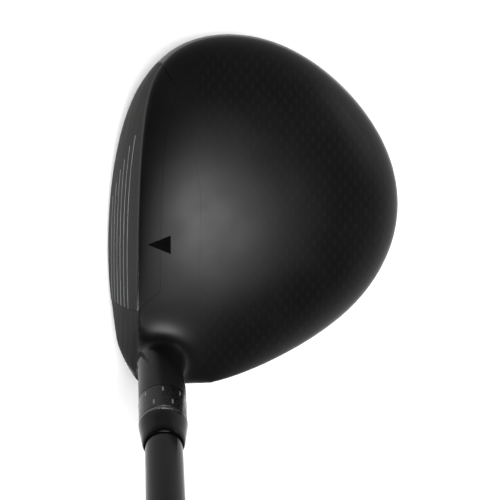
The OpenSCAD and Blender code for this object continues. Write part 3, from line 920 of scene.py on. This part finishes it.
# ---- Head -----------------------------------------------------------------------------------------------------------
@dataclass
class Head:
    """Cast body with its hosel, forged face, carbon crown and sole badge."""

    skin_map: Reference
    hosel_r: float = 6.7
    hosel_top: float = 59.3
    bore_r: float = 5.8
    seat_top: float = 19.5
    seat_r: float = 3.1
    port_r: float = 5.2
    voxel: float = 0.52
    panel_t: float = 0.9
    bond_t: float = 0.15
    face_t: float = 2.0
    cup_from: float = 6.5
    cup_to: float = 11.25
    cup_reach: float = 0.8
    groove_w: float = 0.55
    grooves: tuple = ((27.8, 17, -47), (24.1, 14, -46), (20.4, 10, -44), (16.8, 7, -42), (13.1, 3, -39),
                      (9.5, -1, -34))
    front_port: tuple = (-23.0, 0.0, 1.5)
    rear_port: tuple = (29.5, -4.0, 2.7)
    badge_at: tuple = (3.0, 24.0, 1.9)

    def build(self) -> None:
        """Make and dress all pieces of the head."""
        body = self.body()
        self.skin_map.mark(body)
        dress(body, PAINT, "head", "black_paint", "head_body")
        cup = self.face_cup()
        self.skin_map.mark(cup)
        dress(cup, FACE_FINISH, "head", "face_steel", "face_cup")
        dress(self.panel(), CROWN, "head", "carbon", "crown_panel")
        dress(self.sight_mark(), DARK_MARK, "head", "black_paint")
        badge = self.badge(0.0, 0.05, 0.85, "badge_inlay")
        dress(badge, WovenBadge("badge_weave"), "head", "badge_metal", "sole_badge")

    def fillet(self, place: np.ndarray) -> np.ndarray:
        """Radius of the blend between hosel and head at places in the upright frame."""
        turn = np.arctan2(place[:, 1], place[:, 0])
        back, toe = (1 + np.cos(turn)) / 2, (1 + np.sin(turn)) / 2
        return 2.5 + 9.0 * back**2 + 7.0 * toe**2 * back

    def body(self) -> Piece:
        """Blend skin and hosel into one surface, then cut its recesses and ports."""
        body = mesh_object("body_shell", self.skin_map.points, self.skin_map.faces)
        stem = cutter("stem", self.hosel_r, 24, 62, LINE.place)
        body = joined([body, stem])
        step = body.modifiers.new("remesh", "REMESH")
        step.mode, step.voxel_size = "VOXEL", self.voxel * MM
        settle(body)
        mesh = body.data
        edges = np.empty(len(mesh.edges) * 2, int)
        mesh.edges.foreach_get("vertices", edges)
        points = self.settle_on_blend(points_of(mesh), edges.reshape(-1, 2))
        mesh.vertices.foreach_set("co", (points * MM).ravel())
        mesh.update()
        land = turned("land", [(0, 0), (8, 0), (8, 1.4), (0, 1.4)], Matrix(), 96, 0.12)
        shape_by(body, [land], "UNION")
        tools = [cutter("trim", 9, self.hosel_top, 66, LINE.place, 64),
                 cutter("bore", self.bore_r, self.seat_top, 70, LINE.place),
                 cutter("seat", self.seat_r, 15, 20, LINE.place, 64),
                 cutter("port", self.port_r, -6, 16, LINE.place),
                 self.patch("cup_room", -1.0, self.face_t + 0.1, 0.04), self.panel_room()]
        for name, place, radius in (("front", self.port_place("front"), 8.0), ("rear", self.port_place("rear"), 9.0)):
            tools += [cutter(name, radius + 0.15, -6, 7, place), cutter(name, 2.05, 6, 14.5, place, 48)]
        tools.append(self.badge(0.1, -3.0, 1.0, "badge_room"))
        shape_by(body, tools)
        return body

    def settle_on_blend(self, points: np.ndarray, edges: np.ndarray) -> np.ndarray:
        """Draw points onto skin and hosel, and relax the crease between them into a wide blend.

        Args:
            points: Array of shape (n, 3), in millimetres.
            edges: Pairs of neighbouring points.

        Returns:
            The moved points.
        """
        points = self.relaxed(points, edges, np.full(len(points), 0.5), 6)
        points, crease = self.onto_parts(points)
        points = self.relaxed(points, edges, np.full(len(points), 0.5), 4)
        points, crease = self.onto_parts(points)
        points = self.relaxed(points, edges, 0.6 * crease, 160)
        return self.relaxed(points, edges, np.full(len(points), 0.4), 2)

    @staticmethod
    def relaxed(points: np.ndarray, edges: np.ndarray, weight: np.ndarray, sweeps: int) -> np.ndarray:
        """Draw each point toward the middle of its neighbours by its weight, several times."""
        live = weight > 0.01
        near = live[edges[:, 0]] | live[edges[:, 1]]
        pairs = np.vstack([edges[near], edges[near][:, ::-1]])
        pairs = pairs[live[pairs[:, 0]]]
        order, slot = np.unique(pairs[:, 0], return_inverse=True)
        count = np.bincount(slot)[:, None]
        points = points.copy()
        for _ in range(sweeps):
            pull = np.stack([np.bincount(slot, points[pairs[:, 1], k]) for k in range(3)], 1) / count
            points[order] += weight[order, None] * (pull - points[order])
        return points

    def onto_parts(self, points: np.ndarray) -> tuple:
        """Move points to the nearer of skin and hosel, and weigh how deep in the crease each lies."""
        place = LINE.upright(points)
        reach = np.maximum(np.linalg.norm(place[:, :2], axis=1), 1e-6)
        near, _, gap, _ = self.skin_map.nearest(points)
        stem = np.where(place[:, 2] > 25, reach - self.hosel_r, 99.0)
        on_stem = place.copy()
        on_stem[:, :2] *= (self.hosel_r / reach)[:, None]
        wall = moved(on_stem, LINE.place)
        use_stem = (np.abs(stem) < np.abs(gap)) & (place[:, 2] < 61.0) & (stem > -1.0)
        free = (place[:, 2] >= 61.0) | (np.minimum(np.abs(gap), np.abs(stem)) > 1.5)
        goal = np.where(use_stem[:, None], wall, near)
        moved_on = np.where(free[:, None], points, goal)
        k = self.fillet(place)
        crease = np.clip((k - np.maximum(gap, stem)) / (0.6 * k), 0.0, 1.0)
        return moved_on, np.where(place[:, 2] > 57.5, 0.0, crease)

    def port_place(self, which: str) -> Matrix:
        """Frame of a weight's port, in millimetres."""
        spot, tilt = (self.front_port, 5.3) if which == "front" else (self.rear_port, -12.0)
        return Matrix.Translation(spot) @ Matrix.Rotation(math.radians(tilt), 4, "Y")

    def patch(self, name: str, top: float, low: float, extra: float) -> Piece:
        """Slab of the skin over the face, from the crown to the sole.

        Args:
            name: Name of the piece.
            top: Inset of its outer side.
            low: Inset of its inner side.
            extra: How far it reaches past the cup all round.

        Returns:
            The slab.
        """
        s = SKIN.edge(np.linspace(self.cup_from - extra * 0.2, self.cup_to + extra * 0.2, 150))
        reach = self.cup_reach - extra * 0.03
        out = 1 - (1 - reach) * np.linspace(1, 0, 14)[:-1] ** 1.6
        rows = [(Edge.SOLE, r) for r in out] + [(Edge.BAND, v) for v in np.linspace(0, 1, 40)]
        rows += [(Edge.CROWN, r) for r in out[::-1]]
        grids = [np.array([skin_ring(kind, s, value, t) for kind, value in rows]) for t in (top, low)]
        points, faces = slab(grids[0], grids[1])
        piece = mesh_object(name, points, faces, 30)
        tidy_normals(piece, 30)
        return piece

    def face_cup(self) -> Piece:
        """Forged face with its scorelines cut in."""
        cup = self.patch("face_plate", 0.0, self.face_t, 0.0)
        cup.data.materials.append(FACE_FINISH.material())
        shape_by(cup, [self.scorelines()], angle=22)
        return cup

    def scorelines(self) -> Piece:
        """Cutters of the scorelines: bars that follow the face's bulge at even heights."""
        points, edges = [], []
        for height, toe, heel in self.grooves:
            y = np.linspace(toe, heel, 90)
            line = self.on_face(y, np.full(len(y), height))
            edges += [(len(points) + i, len(points) + i + 1) for i in range(len(y) - 1)]
            points += line.tolist()
        path = bpy.data.meshes.new("paths")
        path.from_pydata(points, edges, [])
        seed = linked("scorelines", path)
        made = Recipe("Scorelines", width=self.groove_w, sides=8)
        curve = made.node("MeshToCurve", {"Mesh": made["Geometry"]})
        profile = made.node("CurvePrimitiveCircle", {"Resolution": made["sides"],
                                                     "Radius": made.math("DIVIDE", made["width"], 2.0)})
        swept = made.node("CurveToMesh", {"Curve": curve.outputs[0], "Profile Curve": profile.outputs[0],
                                          "Fill Caps": True})
        return made.run("scorelines", swept.outputs[0], GROOVE, seed=seed)

    def on_face(self, y: np.ndarray, z: np.ndarray) -> np.ndarray:
        """Points of the face at places y across and heights z."""
        lo, hi = np.full(len(y), 6.0), np.full(len(y), 13.5)
        for _ in range(40):
            mid = (lo + hi) / 2
            s = SKIN.edge(mid)
            v = np.clip((z - s[:, 3]) / (s[:, 2] - s[:, 3]), 0, 1)
            plan = np.array([SKIN.band_plan(s[i:i + 1], v[i], 0.0)[0] for i in range(len(y))])
            above = plan[:, 1] > y
            lo, hi = np.where(above, mid, lo), np.where(above, hi, mid)
        return np.column_stack([plan[:, 0], y, z])

    def panel_rings(self, gap: float, top: float, low: float, share: np.ndarray) -> tuple:
        """Closed cap of the crown between two insets, out to the panel's edge less gap."""
        s = SKIN.edge(np.linspace(0, len(SKIN.stations), 304, endpoint=False))
        edge = SKIN.panel_rho(s, gap)
        rings = [SKIN.crown(s, f * edge, low) for f in share] + [SKIN.crown(s, f * edge, top) for f in share[::-1]]
        pole = np.array(SKIN.pole)
        base = float(SKIN.crown_base(pole))
        return capped(rings, np.array([*pole, base - low]), np.array([*pole, base - top]))

    def panel(self) -> Piece:
        """Carbon crown panel."""
        share = np.concatenate([np.linspace(0.03, 0.95, 40), [0.975, 0.99, 1.0]])
        piece = mesh_object("crown_shell", *self.panel_rings(0.03, 0.0, self.panel_t, share), 50)
        tidy_normals(piece, 50)
        return piece

    def panel_room(self) -> Piece:
        """Cutter for the recess that takes the panel."""
        share = np.linspace(0.05, 1.0, 24)
        piece = mesh_object("panel_room", *self.panel_rings(0.0, -1.0, self.panel_t + self.bond_t, share))
        tidy_normals(piece)
        return piece

    def sight_mark(self) -> Piece:
        """Plain solid triangle on the crown that helps to line the club up, as thin as paint."""
        tip, base, half = -32.0, -25.5, 2.6
        middle, steps = -14.0, 14
        rows = []
        for x in np.linspace(tip, base, steps):
            reach = 0.05 + half * (x - tip) / (base - tip)
            rows.append([(x, middle + reach * w) for w in np.linspace(-1, 1, 9)])
        plan = np.array(rows)
        flat = plan.reshape(-1, 2)
        hits = [self.skin_map.tree.ray_cast((x, y, 60.0), (0, 0, -1))[0] for x, y in flat.tolist()]
        z = np.array([h[2] for h in hits]).reshape(plan.shape[:2])
        top = np.dstack([plan, z + 0.03])
        low = np.dstack([plan, z - 0.05])
        piece = mesh_object("sight_mark", *slab(top, low))
        tidy_normals(piece)
        return piece

    def badge(self, margin: float, low: float, high: float, name: str) -> Piece:
        """Long rounded plate in the sole.

        Args:
            margin: How much wider it is than the badge.
            low: Height of its outer side in its own frame.
            high: Height of its inner side.
            name: Name of the piece.

        Returns:
            The plate.
        """
        ends = []
        for side in (1, -1):
            turn = np.linspace(-math.pi / 2, math.pi / 2, 33) + (0 if side > 0 else math.pi)
            ends += [(side * 7 + (4 + margin) * math.cos(t), (4 + margin) * math.sin(t)) for t in turn]
        ring = np.array(ends)
        inset = 0.12 if margin == 0 else 0.0
        shrink = 1 - inset / 4
        rings = [np.column_stack([ring * shrink, np.full(len(ring), low)]),
                 np.column_stack([ring, np.full(len(ring), low + inset)]),
                 np.column_stack([ring, np.full(len(ring), high)])]
        points, faces = capped(rings, np.array([0, 0, low]), np.array([0, 0, high]))
        turn = Euler((math.radians(7.5), math.radians(-0.7), 0.0)).to_matrix().to_4x4()
        piece = mesh_object(name, moved(points, Matrix.Translation(self.badge_at) @ turn), faces)
        tidy_normals(piece)
        return piece


# ---- Weights --------------------------------------------------------------------------------------------------------
@dataclass
class SoleWeight:
    """A round weight in the sole with its screw."""

    which: str
    radius: float
    place: Matrix
    lean: float
    recess: float = 0.4
    height: float = 6.2
    head_r: float = 3.6
    shank_r: float = 2.0

    def build(self) -> None:
        """Make and dress the weight and its screw."""
        spot = tuple(v * MM for v in self.place.translation)
        finish = Metal(f"{self.which}_weight_steel", 0.4, 0.24, 0.0005, spot, (0.0, -self.lean, 0.0))
        floor = self.recess + self.height
        body = turned(f"{self.which}_disc", [
            (self.head_r + 0.2, self.recess), (self.radius - 0.9, self.recess), (self.radius - 0.7, self.recess + 0.35),
            (self.radius - 0.4, self.recess + 0.35), (self.radius, self.recess + 0.1), (self.radius, floor),
            (self.shank_r + 0.2, floor), (self.shank_r + 0.2, self.recess + 2.6),
            (self.head_r + 0.2, self.recess + 2.6)], self.place, 128, 0.12)
        body.data.materials.append(finish.material())
        shape_by(body, [bars_round(f"{self.which}_notches", (1.2, 0.8, 1.0), 12, self.recess, self.radius - 1.9,
                                   finish, self.place)])
        dress(body, finish, f"{self.which}_weight", "weight_steel", f"{self.which}_weight")
        low = self.recess + 0.1
        screw = turned(f"{self.which}_bolt", [
            (0, low), (self.head_r, low), (self.head_r, low + 2.4), (self.shank_r - 0.35, low + 2.4),
            (self.shank_r - 0.35, low + 12.1), (self.shank_r - 0.9, low + 12.4), (0, low + 12.4)], self.place, 64, 0.2)
        screw.data.materials.append(SCREW.material())
        shape_by(screw, [cutter("socket", 1.9, low - 1, low + 1.7, self.place, 6)])
        ridge = thread(f"{self.which}_thread", self.shank_r, low + 3.2, low + 12.0, 0.7, SCREW, self.place)
        dress(joined([screw, ridge]), SCREW, f"{self.which}_weight_screw", "screw_steel",
              f"{self.which}_weight_screw")


# ---- Hosel parts ----------------------------------------------------------------------------------------------------
@dataclass
class HoselParts:
    """Index ring, sleeve, ferrule and the screw that holds them down."""

    ring_low: float = 59.35
    ring_high: float = 67.95
    outer: float = 6.7
    sleeve_r: float = 5.75

    def build(self) -> None:
        """Make and dress the pieces on the hosel."""
        ring = turned("setting_ring", [(5.8, self.ring_low), (self.outer, self.ring_low), (self.outer, self.ring_high),
                                       (5.8, self.ring_high)], LINE.place, 128, 0.18)
        ring.data.materials.append(RING.material())
        dress(ring, RING, "ring", "ring_metal", "index_ring")
        marks = bars_round("setting_marks", (0.12, 0.45, 1.6), 8, 61.2, self.outer, MARK, LINE.place, 2, 4.6, 0.5)
        dress(marks, MARK, "ring", "ring_metal")
        sleeve = turned("shaft_sleeve", [
            (2.55, 22.5), (self.sleeve_r, 23), (self.sleeve_r, 68), (6.75, 68), (6.75, 69.2), (4.82, 69.2),
            (4.82, 34), (2.55, 31.5)], LINE.place, 128, 0.15)
        sleeve.data.materials.append(SLEEVE.material())
        dogs = bars_round("dogs", (1.75, 2.0, 3.0), 8, 21.6, 4.55, SLEEVE, LINE.place)
        sleeve = joined([sleeve, dogs])
        dress(sleeve, SLEEVE, "shaft_assembly", "sleeve_metal", "adapter_sleeve")
        cone = turned("ferrule_cone", [
            (4.75, 69.25), (6.72, 69.25), (6.7, 69.85), (6.45, 71.6), (6.05, 74.4), (5.85, 76.05), (5.5, 76.85),
            (5.18, 76.85), (4.75, 72.35)], LINE.place, 128, 0.12, 40)
        dress(cone, FERRULE, "shaft_assembly", "ferrule_plastic", "ferrule")
        self.screw()

    def screw(self) -> None:
        """The long screw in the hosel, with a six-sided socket and its thread."""
        low, top = 10.4, 31.5
        bolt = turned("hosel_bolt", [(0, low), (4.2, low), (4.2, low + 4.5), (2.1, low + 4.5), (2.1, top - 0.4),
                                     (1.6, top), (0, top)], LINE.place, 96, 0.25)
        bolt.data.materials.append(SCREW.material())
        shape_by(bolt, [cutter("socket", 2.2, low - 1, low + 2.6, LINE.place, 6)])
        ridge = thread("hosel_thread", 2.5, low + 5.4, top - 0.6, 0.8, SCREW, LINE.place)
        dress(joined([bolt, ridge]), SCREW, "hosel_screw", "screw_steel", "hosel_screw")


# ---- Shaft and grip -------------------------------------------------------------------------------------------------
@dataclass
class ShaftAndGrip:
    """Tapered shaft with its rubber grip and cap."""

    tip_r: float = 4.7
    shaft_r: float = 5.15
    butt_r: float = 7.6
    foot: float = 34.3
    joint: float = 76.85
    length: float = 1092.0
    grip_low: float = 825.0
    mouth_r: float = 8.4
    grip_r: float = 13.4

    def build(self) -> None:
        """Make and dress the shaft, the grip and its cap."""
        dress(self.shaft(), LACQUER, "shaft_assembly", "shaft_lacquer", "shaft")
        grip = self.grip()
        dress(grip, RUBBER, "shaft_assembly", "grip_rubber", "grip")
        low = self.length - 5 + 0.02
        cap = turned("butt_cap", [
            (7.95, low), (13.7, low), (14.15, low + 0.9), (14.15, low + 1.5), (13.75, low + 2.5), (12.6, 1090.2),
            (10.9, 1091.4), (7.4, 1092), (5.0, 1091.7), (1.75, 1091.7), (1.75, 1089.2), (7.95, 1089.2)],
            LINE.place, 128, 0.3, 40)
        dress(cap, RUBBER, "shaft_assembly", "grip_rubber", "grip_cap")

    def shaft(self) -> Piece:
        """Shaft by its taper rule: a parallel tip, a short step and one even taper to the butt."""
        made = Recipe("Shaft taper", sides=96, rows=260, low=self.foot, high=self.length - 3.0, tip=self.tip_r,
                      start=self.shaft_r, butt=self.butt_r, joint=self.joint)
        tube = made.node("MeshCylinder", {"Vertices": made["sides"], "Side Segments": made["rows"], "Radius": 1.0,
                                          "Depth": 1.0})
        spot = made.node("InputPosition").outputs[0]
        parts = made.node("ShaderNodeSeparateXYZ", {0: spot})
        share = made.plus(parts.outputs[2], 0.5)
        height = made.plus(made["low"], made.times(share, made.minus(made["high"],
                                                                                      made["low"])))
        past = made.minus(height, made["joint"])
        span = made.minus(made["high"], made["joint"])
        even = made.plus(made["start"], made.times(
            made.minus(made["butt"], made["start"]), made.math("DIVIDE", past, span)))
        step = made.plus(made["start"], made.times(past, 0.1))
        radius = made.math("MAXIMUM", made["tip"], made.math("MINIMUM", even, step))
        moved_to = made.vector(made.times(parts.outputs[0], radius),
                               made.times(parts.outputs[1], radius), height)
        shaped = made.node("SetPosition", {"Geometry": tube.outputs[0], "Position": moved_to})
        return made.run("shaft_tube", shaped.outputs[0], LACQUER, LINE.place)

    def grip_radius(self, height: float) -> float:
        """Radius of the grip at a height."""
        span = self.length - self.grip_low
        return self.mouth_r + (self.grip_r - self.mouth_r) * ((height - self.grip_low) / span) ** 1.25

    def grip(self) -> Piece:
        """Grip sleeve with staggered rows of short slots cut into the rubber."""
        top = self.length - 5
        heights = np.linspace(self.grip_low + 1.5, top, 90)
        outer = [(self.mouth_r - 0.8, self.grip_low)] + [(self.grip_radius(h), h) for h in heights]
        inner = [(7.95, top), (7.4, self.grip_low)]
        piece = turned("grip_sleeve", outer + inner, LINE.place, 128, 0, 40)
        piece.data.materials.append(RUBBER.material())
        sizes = dict(rows=33, per_row=14, low=858.0, pitch=6.2, length=267.0, power=1.25, stagger=0.5)
        slots = ring_recipe("Grip slots", (0.9, 0.7, 4.4), low_r=8.65, high_r=13.9, slant=0.55, **sizes)
        shape_by(piece, [slots.run("slots", slots.bars, RUBBER, LINE.place)])
        return piece


# ---- Studio ---------------------------------------------------------------------------------------------------------
@dataclass
class Studio:
    """Floor, lights and camera."""

    camera_at: tuple = (-0.0384, 0.017, 0.489)
    aim: tuple = (-0.0014, -0.017, 0.020)
    focal: float = 114.05

    def build(self) -> None:
        """Make the floor, the lights, the surroundings and the camera."""
        floor = mesh_object("floor", np.array([(-6000, -6000, -0.4), (6000, -6000, -0.4), (6000, 6000, -0.4),
                                               (-6000, 6000, -0.4)]), [(0, 1, 2, 3)])
        finish = Moulded("floor_paint", (0.9, 0.9, 0.9), 0.8, 40.0, 0.0, 0.005)
        floor.data.materials.append(finish.material())
        self.lamp("overhead", (0.12, -0.12, 2.4), (0.05, -0.06, 0.0), (1.05, 1.15), 92.0)
        self.lamp("rear_panel", (2.2, 1.2, 0.5), (0.0, 0.0, 0.05), (1.2, 0.6), 6.0)
        self.lamp("left_strip", (-1.6, -1.0, 1.2), (0.0, -0.1, 0.1), (0.4, 1.4), 3.0)
        self.surroundings()
        self.camera()

    @staticmethod
    def lamp(name: str, spot: tuple, target: tuple, size: tuple, power: float) -> None:
        """Hang a soft rectangular lamp.

        Args:
            name: Name of the lamp.
            spot: Where it hangs, in metres.
            target: Point that it faces.
            size: Width and height, in metres.
            power: Watts.
        """
        light = bpy.data.lights.new(name, "AREA")
        light.shape, light.size, light.size_y, light.energy = "RECTANGLE", size[0], size[1], power
        lamp = linked(name, light)
        lamp.location = spot
        lamp.rotation_euler = (Vector(target) - Vector(spot)).to_track_quat("-Z", "Y").to_euler()

    @staticmethod
    def surroundings() -> None:
        """White surroundings at the horizon, darker overhead."""
        world = bpy.data.worlds.new("studio")
        bpy.context.scene.world = world
        world.use_nodes = True
        tree = world.node_tree
        back = tree.nodes["Background"]
        where = tree.nodes.new("ShaderNodeTexCoord")
        parts = tree.nodes.new("ShaderNodeSeparateXYZ")
        tree.links.new(where.outputs["Generated"], parts.inputs[0])
        level = tree.nodes.new("ShaderNodeMapRange")
        level.interpolation_type = "SMOOTHSTEP"
        tree.links.new(parts.outputs[2], level.inputs["Value"])
        for key, value in (("From Min", 0.0), ("From Max", 0.3), ("To Min", 1.0), ("To Max", 0.1)):
            level.inputs[key].default_value = value
        tree.links.new(level.outputs[0], back.inputs["Strength"])
        back.inputs["Color"].default_value = (1, 1, 1, 1)

    def camera(self) -> None:
        """Set the camera above the head, looking down."""
        data = bpy.data.cameras.new("camera")
        data.lens, data.sensor_width = self.focal, 36.0
        data.clip_start, data.clip_end = 0.01, 50.0
        camera = linked("camera", data)
        spot, aim = Vector(self.camera_at), Vector(self.aim)
        ahead = (aim - spot).normalized()
        right = ahead.cross(Vector((0, 1, 0))).normalized()
        turn = Matrix((right, right.cross(ahead), -ahead)).transposed()
        camera.matrix_world = Matrix.Translation(spot) @ turn.to_4x4()
        bpy.context.scene.camera = camera
        bpy.context.scene.view_settings.view_transform = "Standard"


def dress_hidden_nodes() -> None:
    """Give the CAD nodes that stay their finishes."""
    kept = {"crown_bond": GLUE, "badge_bond": GLUE, "sleeve_epoxy": GLUE, "hosel_washer": SCREW,
            "screw_retainer": NYLON, "tip_plug": CORK, "grip_tape": TAPE}
    for name, finish in kept.items():
        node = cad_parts[name]
        if not node.material_slots:
            node.data.materials.append(finish.material())
        node.material_slots[0].material = finish.material()
        log.info("%s keeps its CAD shape", name)


def main() -> None:
    """Build the club piece by piece."""
    logging.basicConfig(level=logging.INFO, format="%(message)s")
    head = Head(Reference())
    head.build()
    SoleWeight("front", 8.0, head.port_place("front"), math.radians(5.3)).build()
    SoleWeight("rear", 9.0, head.port_place("rear"), math.radians(-12.0)).build()
    HoselParts().build()
    ShaftAndGrip().build()
    dress_hidden_nodes()
    Studio().build()


if __name__ == "__main__":
    main()
